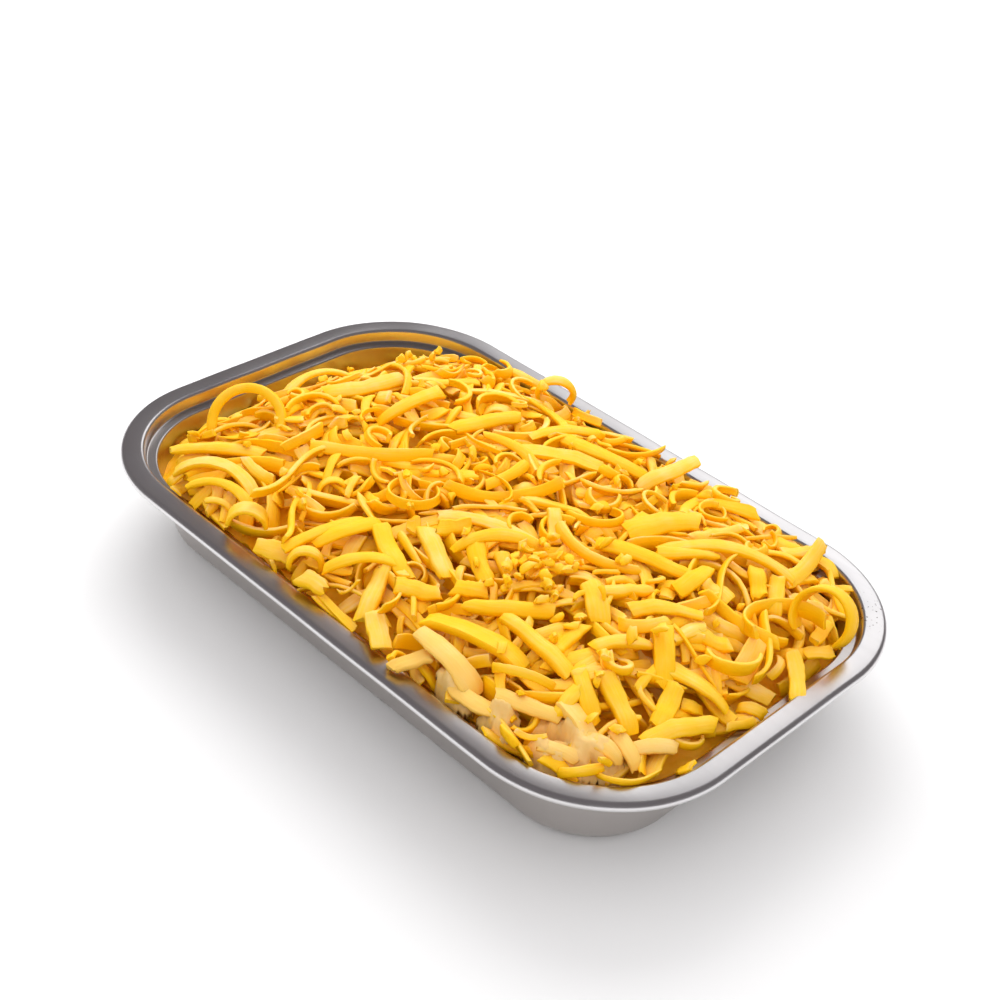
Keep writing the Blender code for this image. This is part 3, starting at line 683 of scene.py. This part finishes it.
def turned(rings, heading, pitch, roll):
    turn = Matrix.Rotation(heading, 3, "Z") @ Matrix.Rotation(pitch, 3, "Y") @ Matrix.Rotation(roll, 3, "X")
    return rings @ np.array(turn).T


class Ground:
    # heights over the tray, which rise as shreds come down
    def __init__(self, coreInset):
        cell = shred["cell"]
        self.startX = -tray["length"] / 2
        self.startY = -tray["width"] / 2
        self.columns = int(tray["length"] / cell) + 1
        self.rows = int(tray["width"] / cell) + 1
        x = self.startX + np.arange(self.columns)[:, None] * cell + np.zeros((1, self.rows))
        y = self.startY + np.arange(self.rows)[None, :] * cell + np.zeros((self.columns, 1))
        self.x = x
        self.y = y
        inset = insetAt(x, y)
        section = foilSection(tray["bendSteps"])[::-1]
        insets = [point[0] for point in section]
        self.foil = np.interp(inset, insets, [point[1] for point in section])
        self.foil[inset < 0] = 0
        self.heights = self.foil.copy()
        level = food["fillingDepth"]
        self.heights = np.maximum(self.heights, np.where(self.heights < level, fillingTop(x, y), 0))
        self.heights = np.maximum(self.heights, np.where(inset > coreInset, coreTop(x, y), 0))
        self.kept = np.zeros(self.heights.shape, bool)

    def cells(self, points):
        column = np.clip((points[..., 0] - self.startX) / shred["cell"] + 0.5, 0, self.columns - 1)
        row = np.clip((points[..., 1] - self.startY) / shred["cell"] + 0.5, 0, self.rows - 1)
        return column.astype(int), row.astype(int)

    def holes(self, depth):
        # places where the shreds lie more than this far below the heap's surface
        farEnd = -tray["length"] / 2 + 2 * tray["flange"] + shred["farGap"]
        nearEnd = tray["length"] / 2 - 2 * tray["flange"]
        clear = (insetAt(self.x, self.y) > shred["holeInset"]) & (self.x > farEnd) & (self.x < nearEnd)
        deep = (heapSurface(self.x, self.y) - self.heights > depth) & clear
        return list(zip(self.x[deep], self.y[deep]))

    def below(self, points):
        return self.heights[self.cells(points)]

    def cover(self, rings, keep):
        fine = shred["pointsAlong"]
        steps = np.linspace(0, len(rings) - 1, fine * (len(rings) - 1) + 1)
        first = np.minimum(steps.astype(int), len(rings) - 2)
        share = (steps - first)[:, None, None]
        between = rings[first] * (1 - share) + rings[first + 1] * share
        for left, right in ((2, 4), (9, 7), (0, 6), (1, 5)):
            side = np.linspace(0, 1, shred["pointsAcross"])[None, :, None]
            points = between[:, None, left] * (1 - side) + between[:, None, right] * side
            place = self.cells(points)
            np.maximum.at(self.heights, place, points[..., 2])
            if keep:
                self.kept[place] = True


def drop(rings, ground, sink, limp):
    # lowers a strip until it touches, then lets it sag where there is air below
    points = np.concatenate([rings, rings[:-1] * 0.5 + rings[1:] * 0.5])
    lift = (ground.below(points) - points[..., 2]).max() - sink
    landed = rings.copy()
    landed[..., 2] += lift
    gap = (landed[..., 2] - ground.below(landed)).min(axis=1)
    air = gap.mean()
    if limp > 0:
        sag = np.clip(gap, 0, shred["mostSag"])
        for _ in range(3):
            around = np.concatenate([sag[:1], sag, sag[-1:]])
            sag = np.minimum(sag, (around[:-2] + around[1:-1] + around[2:]) / 3)
        landed[..., 2] -= (limp * sag)[:, None]
        air = (gap - limp * sag).mean()
    return landed, air


def lieOfGround(ground, x, y, heading, length, width):
    # pitch and roll of the ground under a strip
    s = np.linspace(-0.4, 0.4, 7)[:, None] * length
    t = np.array([-0.4, 0, 0.4])[None, :] * width
    placeX = x + s * math.cos(heading) - t * math.sin(heading)
    placeY = y + s * math.sin(heading) + t * math.cos(heading)
    heights = ground.below(np.stack([placeX, placeY], axis=-1))
    heights = heights - heights.mean()
    along = (heights * s).sum() / (s * s * np.ones_like(t)).sum()
    across = (heights * t).sum() / (t * t * np.ones_like(s)).sum()
    return -math.atan(along), math.atan(across)


def insideTray(landed, ground):
    x, y = landed[..., 0], landed[..., 1]
    high = landed[..., 2] > shred["farLevel"]
    endRoom = tray["flange"] + tray["rimBend"]
    farEnd = -tray["length"] / 2 + endRoom + shred["farGap"]
    nearEnd = tray["length"] / 2 - endRoom - shred["nearGap"] * smoothStep(0, shred["nearGapFrom"], y[high])
    low = landed[..., 2] < tray["height"] + 1 * mm
    inset = insetAt(x, y)
    clear = (x[high] > farEnd).all() and (x[high] < nearEnd).all() and (inset[low] > shred["lowInset"]).all()
    cutX, cutY, leastCut = shred["leftCut"]
    clear = clear and (cutX * x[high] + cutY * y[high] > leastCut).all()
    overFoil = (landed[..., 2] - ground.foil[ground.cells(landed)]).min()
    return clear and inset.min() > shred["leastInset"] and overFoil > -shred["foilTouch"]


def curlOf(most, onEdge, draw):
    # curl at both ends in degrees: a strip on its edge coils, a flat one bows
    if onEdge:
        first = draw.choice((-1, 1)) * draw.uniform(0.4, 1.6) * most
        return first, first * draw.uniform(-0.6, 1.6)
    first = draw.gauss(0.3, 0.5) * most
    return first, first + draw.gauss(0, 0.45) * most


def scatter(kinds, ground, laid, draw, low, high, mostKept, holesOnly=False):
    # lays shreds evenly over the heap or in its holes, each in the flattest of several places near its own
    reachX = tray["length"] / 2 - 2.2 * tray["flange"]
    reachY = tray["width"] / 2 - 1.7 * tray["flange"]
    turns = []
    for kind, facts in kinds.items():
        turns += [kind] * facts[0]
    draw.shuffle(turns)
    for index, kind in enumerate(turns):
        _, lengths, widths, thicknesses, mostCurl, mostBend = kinds[kind]
        centreX = reachX * (2 * ((index + 1) * shred["evenStepX"] % 1) - 1)
        centreY = reachY * (2 * ((index + 1) * shred["evenStepY"] % 1) - 1)
        if holesOnly:
            if index % shred["holesEvery"] == 0:
                holes = ground.holes(shred["holeDepth"])
            if len(holes) == 0:
                break
            centreX, centreY = holes[draw.randrange(len(holes))]
        onEdge = kind != "stub" and draw.random() < shred["edgeShare"]
        curl = curlOf(mostCurl, onEdge, draw)
        length = draw.uniform(*lengths) * mm
        width = draw.uniform(*widths) * mm
        steps = shred["steps"] + round((abs(curl[0]) + abs(curl[1])) / 2 / shred["turnPerStep"])
        new = strip(
            length, width, draw.uniform(*thicknesses) * mm, curl,
            draw.gauss(0, shred["unevenBend"]) * mostBend, draw.gauss(0, shred["unevenTwist"]),
            steps if kind != "stub" else shred["stubSteps"], draw)
        limp = shred["limp"] if abs(curl[0]) + abs(curl[1]) < shred["curled"] else shred["limp"] / 2
        best = None
        for _ in range(shred["tries"]):
            x = centreX + draw.gauss(0, shred["spread"])
            y = centreY + draw.gauss(0, shred["spread"])
            heading = draw.uniform(0, math.tau)
            pitch, roll = lieOfGround(ground, x, y, heading, length, width)
            pitch = max(-0.5, min(0.5, pitch)) + math.radians(draw.gauss(0, 8))
            roll = max(-0.6, min(0.6, roll)) + math.radians(draw.gauss(0, 15))
            if onEdge:
                roll += math.radians(draw.choice((-1, 1)) * draw.uniform(55, 90))
            rings = turned(new["rings"], heading, pitch, roll) + np.array((x, y, 0))
            landed, air = drop(rings, ground, shred["sink"], 0 if onEdge else limp)
            over = landed[..., 2] - heapSurface(landed[..., 0], landed[..., 1])
            excess = over.max() - high - (shred["edgeRise"] if onEdge else 0)
            if excess > shred["press"]:
                continue
            landed[..., 2] -= max(0, excess)
            over -= max(0, excess)
            if not insideTray(landed, ground):
                continue
            keptShare = ground.kept[ground.cells(landed)].mean()
            if keptShare > mostKept:
                continue
            piled = shred["pileWeight"] * np.maximum(over - low, 0).mean()
            badness = air + piled + shred["keptWeight"] * keptShare
            if best is None or badness < best[1]:
                best = (landed, badness)
        if best is not None:
            ground.cover(best[0], False)
            new["rings"] = best[0]
            laid[kind].append(new)


def placeSingles(table, kind, ground, laid, draw):
    for facts in table.values():
        x, y, heading, length, width, thickness, pitch, roll, curlFirst, curlLast, bend, sink = facts
        curved = abs(curlFirst) + abs(curlLast) + abs(bend)
        steps = shred["coiledSteps"] if curved > shred["coiled"] else shred["singleSteps"]
        uneven = shred["unevenCurl"]
        curl = (curlFirst + draw.gauss(0, uneven), curlLast + draw.gauss(0, uneven))
        new = strip(
            length * mm, width * mm * shred["slimWidth"], thickness * mm * shred["slimThickness"], curl,
            bend + draw.gauss(0, uneven), draw.gauss(0, uneven), steps, draw)
        rings = turned(new["rings"], math.radians(heading), math.radians(pitch), math.radians(roll))
        rings = rings + np.array((x * mm, y * mm, 0))
        stiff = curved > shred["arched"] or roll > shred["onSide"]
        landed, _ = drop(rings, ground, sink * mm, 0 if stiff else shred["singleLimp"])
        above = (landed[..., 2] - heapSurface(landed[..., 0], landed[..., 1])).min() - shred["singleLift"]
        landed[..., 2] -= max(0.0, float(above))
        landed[..., 2] -= max(0.0, landed[..., 2].max() - cadBox[1].z + shred["headroom"])
        ground.cover(landed, True)
        new["rings"] = landed
        laid[kind].append(new)
    print("single shreds laid:", len(table))


def meshOfShreds(name, shreds):
    # one mesh from the rings of many shreds, with a map along each shred, its own tone, its paler cut ends
    # and its narrow sides painted paler as painted highlight
    sides = shred["sides"]
    verts, faces, maps, tones, cutEndsLitSides = [], [], [], [], []
    for index, one in enumerate(shreds):
        base = len(verts)
        rings = one["rings"]
        count = len(rings)
        verts.extend(rings.reshape(-1, 3).tolist())
        along = np.repeat(one["along"][:, None], sides, axis=1) / (10 * mm) + index * 3.7
        across = one["across"] / (10 * mm) + index * 1.3
        maps.extend(np.stack([along, across], axis=-1).reshape(-1, 2).tolist())
        tones.extend([one["tone"]] * (count * sides))
        cutEndsLitSidesShare = np.zeros((count, sides))
        # the narrow sides get part of the share, painted highlight standing in for the lit edge of shreds on
        # their side; the cut ends get all of it, paler and rougher cut cheese
        cutEndsLitSidesShare[:, (0, 1, 5, 6)] = 0.45
        cutEndsLitSidesShare[0] = cutEndsLitSidesShare[-1] = 1
        cutEndsLitSides.extend(cutEndsLitSidesShare.reshape(-1).tolist())
        for ring in range(count - 1):
            for point in range(sides):
                after = (point + 1) % sides
                first = base + ring * sides
                faces.append((first + point, first + sides + point, first + sides + after, first + after))
        faces.append(tuple(base + point for point in range(sides)))
        faces.append(tuple(base + (count - 1) * sides + point for point in range(sides - 1, -1, -1)))
    mesh = bpy.data.meshes.new(name)
    mesh.from_pydata(verts, [], faces)
    corners = np.zeros(len(mesh.loops), int)
    mesh.loops.foreach_get("vertex_index", corners)
    mesh.uv_layers.new(name="run").data.foreach_set("uv", np.array(maps)[corners].reshape(-1))
    mesh.attributes.new("tone", "FLOAT", "POINT").data.foreach_set("value", tones)
    mesh.attributes.new("cutEndsLitSides", "FLOAT", "POINT").data.foreach_set("value", cutEndsLitSides)
    normals = np.zeros(3 * len(verts))
    mesh.vertices.foreach_get("normal", normals)
    paintedTopLight = smoothStep(-0.1, 0.95, normals[2::3])  # painted highlight: faces turned up are painted paler, as if lit from above
    mesh.attributes.new("paintedTopLight", "FLOAT", "POINT").data.foreach_set("value", paintedTopLight)
    mesh.shade_smooth()
    mesh.set_sharp_from_angle(angle=math.radians(50))
    return mesh


# dark, middle and pale colours
cheeseColours = {
    "yellow": ((1.0, 0.50, 0.0, 1), (1.0, 0.58, 0.002, 1), (1.0, 0.65, 0.24, 1)),
    "wet": ((0.94, 0.52, 0.07, 1), (0.95, 0.60, 0.13, 1), (0.96, 0.66, 0.28, 1)),
    "crumbs": ((1.0, 0.52, 0.001, 1), (1.0, 0.60, 0.004, 1), (1.0, 0.65, 0.22, 1)),
}


def cheesePaint(name, dark, middle, pale, wet):
    paint = Paint(name, {
        "Subsurface Weight": 0.35, "Subsurface Radius": (0.8, 0.6, 0.3), "Subsurface Scale": 0.4 * mm,
        "Specular IOR Level": 0.2, "Coat Weight": wet, "Coat Roughness": 0.2})
    tone = paint.attribute("tone")
    cutEndsLitSides = paint.attribute("cutEndsLitSides")
    cloud = paint.noise(paint.place(), 220, 3.0)
    grain = paint.noise(paint.place(), 1500, 2.0)
    ridges = paint.noise(paint.uvPlace((1.2, 16, 1)), 1.0, 2.0)
    # the paintedTopLight share is painted highlight, paler colour on faces turned up
    mixed = tone * 0.2 + cloud * 0.3 + paint.attribute("paintedTopLight") * 0.45 + cutEndsLitSides * 0.12 + ridges * 0.25
    share = paint.spread(mixed, 0.25, 1.02)
    paint.feed(
        colour=paint.blend(share ** 5, paint.blend(share, dark, middle), pale),
        roughness=0.45 + 0.15 * grain + 0.15 * cutEndsLitSides - 0.12 * wet,
        normal=paint.bump(ridges * 0.7 + grain * 0.25 + cloud * 0.4, 0.5, 0.35 * mm))
    return paint


def makeShreds(coreInset):
    draw = random.Random(shred["seed"])
    ground = Ground(coreInset)
    laid = {"ribbon": [], "strip": [], "sliver": [], "stub": [], "single": [], "pale": []}
    scatter(bottomKinds, ground, laid, draw, -1.0 * mm, 1.0 * mm, 1.0)
    print("lower shreds laid:", {kind: len(some) for kind, some in laid.items()})
    scatter(holeKinds, ground, laid, draw, -1.0 * mm, 1.6 * mm, 1.0, True)
    placeSingles(singles, "single", ground, laid, draw)
    placeSingles(paleSingles, "pale", ground, laid, draw)
    scatter(topKinds, ground, laid, draw, 0.5 * mm, 3.0 * mm, 0.22)
    scatter(gapKinds, ground, laid, draw, -0.5 * mm, 1.6 * mm, 0.4, True)
    print("upper shreds laid:", {kind: len(some) for kind, some in laid.items()})
    yellow = cheesePaint("grated cheese", *cheeseColours["yellow"], 0.0)
    pale = cheesePaint("cheese wet with sauce", *cheeseColours["wet"], 0.3)
    names = {
        "ribbon": "cheese_ribbons",
        "strip": "cheese_strips",
        "sliver": "cheese_slivers",
        "stub": "cheese_stubs",
        "single": "cheese_top_shreds",
        "pale": "cheese_wet_shreds",
    }
    for kind, name in names.items():
        paint = pale if kind == "pale" else yellow
        addPiece(name, meshOfShreds(name, laid[kind]), paint, "cheese_heap")
    return ground, draw


# Crumbs: tiny torn bits, gathered where the grated cheese broke up

crumbs = {
    "scattered": 60,
    # x, y, reach in mm, count
    "clusters": ((27, -18, 9, 26), (35, -15, 8, 20), (31, -23, 7, 12), (42, -21, 8, 10)),
    "length": (1.6, 4.0),
    "width": (1.4, 3.0),
    "thickness": (0.9, 1.8),
    "steps": 3,
    "sink": 0.2 * mm,
}


def makeCrumbs(ground, draw):
    spots = []
    for x, y, reach, count in crumbs["clusters"]:
        spots += [(draw.gauss(x, reach / 2) * mm, draw.gauss(y, reach / 2) * mm) for _ in range(count)]
    for _ in range(crumbs["scattered"]):
        x = draw.uniform(-0.40, 0.42) * tray["length"]
        y = draw.uniform(-0.38, 0.38) * tray["width"]
        spots.append((x, y))
    bits = []
    for x, y in spots:
        curl = draw.gauss(60, 80)
        bit = strip(
            draw.uniform(*crumbs["length"]) * mm, draw.uniform(*crumbs["width"]) * mm,
            draw.uniform(*crumbs["thickness"]) * mm, (curl, curl * draw.uniform(-0.5, 1.5)),
            draw.gauss(0, 60), draw.gauss(0, 60), crumbs["steps"], draw)
        rings = turned(bit["rings"], draw.uniform(0, math.tau), draw.gauss(0, 0.4), draw.gauss(0, 0.7))
        landed, _ = drop(rings + np.array((x, y, 0)), ground, crumbs["sink"], 0)
        if insetAt(x, y) > shred["holeInset"] and landed[..., 2].max() < cadBox[1].z - shred["headroom"]:
            ground.cover(landed, False)
            bit["rings"] = landed
            bits.append(bit)
    paint = cheesePaint("cheese crumbs", *cheeseColours["crumbs"], 0.0)
    addPiece("cheese_crumbs", meshOfShreds("cheese_crumbs", bits), paint, "cheese_heap")


# Sauce: creamy smears over the shreds at the near corner

sauce = {
    "low": (30, -59),  # corners of the patch in mm
    "high": (94, -22),
    "cell": 0.6,
    "depth": 1.3,
    "dive": 9.0,  # how much steeper its edge goes in among the shreds
    "blobs": ((43, -55.5, 3.5), (56, -53.5, 3), (70, -48.5, 4.5), (77, -44, 4)),  # x, y, reach in mm
    "smooth": 4,  # cells over which it levels the shreds below
    "cling": 0.8,  # how closely it keeps to each shred
    "edge": (7.5 * mm, 11 * mm),  # insets between which it fades towards the tray's edge
    "broadLumps": 11 * mm,
    "fineLumps": 4.5 * mm,
    "mostReach": 1.2,
    "leastReach": 0.35,
    "bareBelow": -0.3,
    "thickness": 2 * mm,
}


def levelled(heights, reach):
    # a running mean along both ways
    for axis in (0, 1):
        before = np.repeat(heights.take([0], axis), reach, axis)
        after = np.repeat(heights.take([-1], axis), reach, axis)
        total = np.cumsum(np.concatenate([before, heights, after], axis), axis)
        width = 2 * reach
        size = total.shape[axis]
        total = np.take(total, range(width, size), axis) - np.take(total, range(0, size - width), axis)
        heights = total / width
    return heights


def makeSauce(ground):
    smooth = levelled(levelled(ground.heights, sauce["smooth"]), sauce["smooth"])
    fine = levelled(ground.heights, 1)
    bm = bmesh.new()
    spanX = sauce["high"][0] - sauce["low"][0]
    spanY = sauce["high"][1] - sauce["low"][1]
    bmesh.ops.create_grid(
        bm, x_segments=round(spanX / sauce["cell"]), y_segments=round(spanY / sauce["cell"]), size=0.5)
    thin = set()
    for vert in bm.verts:
        x = sauce["low"][0] + (vert.co.x + 0.5) * spanX
        y = sauce["low"][1] + (vert.co.y + 0.5) * spanY
        reach = sum(
            math.exp(-((x - blobX) ** 2 + (y - blobY) ** 2) / size ** 2)
            for blobX, blobY, size in sauce["blobs"])
        edge = smoothStep(*sauce["edge"], insetAt(x * mm, y * mm))
        lumps = 0.5 * unevenness(x * mm, y * mm, sauce["broadLumps"])
        lumps = lumps + 0.45 * unevenness(y * mm, x * mm, sauce["fineLumps"])
        amount = min(reach, sauce["mostReach"]) * (0.75 + lumps) * edge - sauce["leastReach"]
        if amount < sauce["bareBelow"]:
            thin.add(vert)
        if amount < 0:
            amount *= sauce["dive"]
        place = Vector((x * mm, y * mm, 0))
        cell = ground.cells(np.array(place))
        level = smooth[cell] * (1 - sauce["cling"]) + fine[cell] * sauce["cling"]
        place.z = float(level) + amount * sauce["depth"] * mm
        vert.co = place
    bare = [face for face in bm.faces if all(vert in thin for vert in face.verts)]
    bmesh.ops.delete(bm, geom=bare, context="FACES")
    drawn = bmesh.ops.extrude_face_region(bm, geom=bm.faces[:], use_keep_orig=True)["geom"]
    lower = [part for part in drawn if isinstance(part, bmesh.types.BMVert)]
    bmesh.ops.translate(bm, verts=lower, vec=(0, 0, -sauce["thickness"]))
    bmesh.ops.recalc_face_normals(bm, faces=bm.faces)
    addPiece("cream_smears", meshFrom(bm, "cream_smears"), creamPaint(), "creamy_filling")


# Floor, light and camera

stage = {
    "floorSize": 8.0,
    "floorColour": (0.84, 0.84, 0.84, 1),
    "floorCloud": (0.87, 0.87, 0.87, 1),
    "worldColour": (0.16, 0.145, 0.15, 1),
    "keyStrength": 0.30,
    "keyWidth": 30,  # degrees across, the bright patch that the foil mirrors
    "keyTurn": (57, 0, 204),  # tilt from overhead and heading
    "softPower": 2.1,  # a broad lamp over the far left side
    "softSize": 0.42,
    "softAt": (-0.33, 0.26, 0.40),
    "fillStrength": 2.5,
    "fillWidth": 170,
    "fillTurn": (24, 0, 216),
    "frontStrength": 0.7,
    "frontWidth": 70,
    "frontTurn": (52, 0, 38),
}


def makeFloor():
    bm = bmesh.new()
    bmesh.ops.create_grid(bm, x_segments=2, y_segments=2, size=stage["floorSize"] / 2)
    mesh = bpy.data.meshes.new("floor")
    bm.to_mesh(mesh)
    bm.free()
    floor = bpy.data.objects.new("floor", mesh)
    bpy.context.scene.collection.objects.link(floor)
    paint = Paint("pale floor", {"Roughness": 0.9, "Specular IOR Level": 0.2})
    cloud = paint.noise(paint.place(), 3.0)
    paint.feed(colour=paint.blend(cloud, stage["floorColour"], stage["floorCloud"]))
    mesh.materials.append(paint.material)


def addSun(name, strength, width, turn, glossy):
    light = bpy.data.lights.new(name, "SUN")
    light.energy = strength
    light.angle = math.radians(width)
    lamp = bpy.data.objects.new(name, light)
    lamp.rotation_euler = [math.radians(angle) for angle in turn]
    lamp.visible_glossy = glossy
    bpy.context.scene.collection.objects.link(lamp)


def addLamp(name, power, size, place):
    light = bpy.data.lights.new(name, "AREA")
    light.energy = power
    light.size = size
    lamp = bpy.data.objects.new(name, light)
    lamp.location = place
    lamp.rotation_euler = Vector(place).to_track_quat("Z", "Y").to_euler()
    lamp.visible_glossy = False
    bpy.context.scene.collection.objects.link(lamp)


def makeLight():
    world = bpy.data.worlds.new("studio")
    world.use_nodes = True
    world.node_tree.nodes["Background"].inputs["Color"].default_value = stage["worldColour"]
    bpy.context.scene.world = world
    addSun("key_light", stage["keyStrength"], stage["keyWidth"], stage["keyTurn"], True)
    addLamp("soft_light", stage["softPower"], stage["softSize"], stage["softAt"])
    addSun("fill_light", stage["fillStrength"], stage["fillWidth"], stage["fillTurn"], False)
    addSun("front_light", stage["frontStrength"], stage["frontWidth"], stage["frontTurn"], False)
    bpy.context.scene.view_settings.view_transform = "Standard"


view = {
    "azimuth": 41.37,
    "elevation": 35.48,
    "roll": 6.45,
    "distance": 432.4 * mm,
    "target": (-3.9 * mm, 7.6 * mm, 28 * mm),
    "lens": 58.75,
}


def makeCamera():
    azimuth = math.radians(view["azimuth"])
    elevation = math.radians(view["elevation"])
    back = Vector((
        math.sin(azimuth) * math.cos(elevation),
        -math.cos(azimuth) * math.cos(elevation),
        math.sin(elevation)))
    level = Vector((0, 0, 1)).cross(back).normalized()
    turn = Matrix((level, back.cross(level), back)).transposed().to_4x4()
    roll = Matrix.Rotation(math.radians(view["roll"]), 4, "Z")
    lens = bpy.data.cameras.new("camera")
    lens.lens = view["lens"]
    lens.sensor_width = 36
    camera = bpy.data.objects.new("camera", lens)
    camera.matrix_world = Matrix.Translation(Vector(view["target"]) + back * view["distance"]) @ turn @ roll
    bpy.context.scene.collection.objects.link(camera)
    bpy.context.scene.camera = camera


makeCamera()
makeFloor()
makeLight()
makeTray()
coreInset = makeFood()
ground, draw = makeShreds(coreInset)
makeCrumbs(ground, draw)
makeSauce(ground)

print("tray meal finished")
